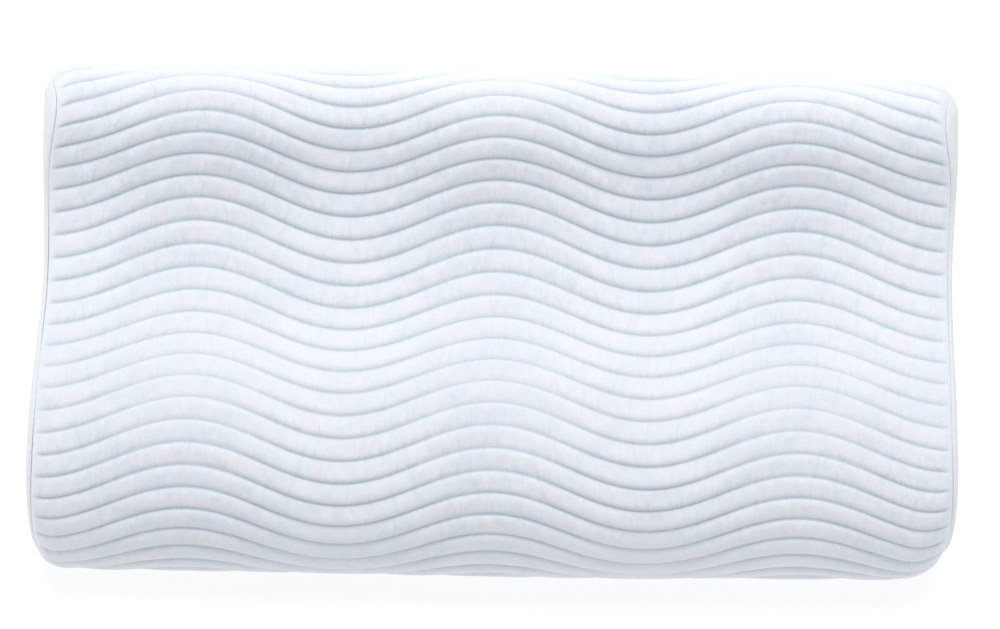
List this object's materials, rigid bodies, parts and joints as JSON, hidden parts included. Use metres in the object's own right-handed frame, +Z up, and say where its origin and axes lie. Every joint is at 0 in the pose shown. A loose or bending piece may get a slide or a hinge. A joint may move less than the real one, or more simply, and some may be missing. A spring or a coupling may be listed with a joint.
{
  "type": "cervical pillow",
  "caption": "Contour pillow with a high back lobe, a shallow neck hollow and a broad low front lobe, in a wave-quilted knit cover with plain end panels.",
  "frame": {"origin": "centre of the flat underside", "axes": "+X across the width, +Y towards the back, where the higher lobe is, +Z up out of the underside"},
  "size_m": [0.5988, 0.326, 0.104],
  "materials": {
    "quilted_knit": "soft matt knit, white ribs with pale blue-green stitched channels",
    "plain_knit": "soft matt fine plain knit"
  },
  "bodies": {
    "root": {"pillow_body": "quilted_knit", "end_panel_left": "plain_knit", "end_panel_right": "plain_knit"}
  },
  "joints": []
}
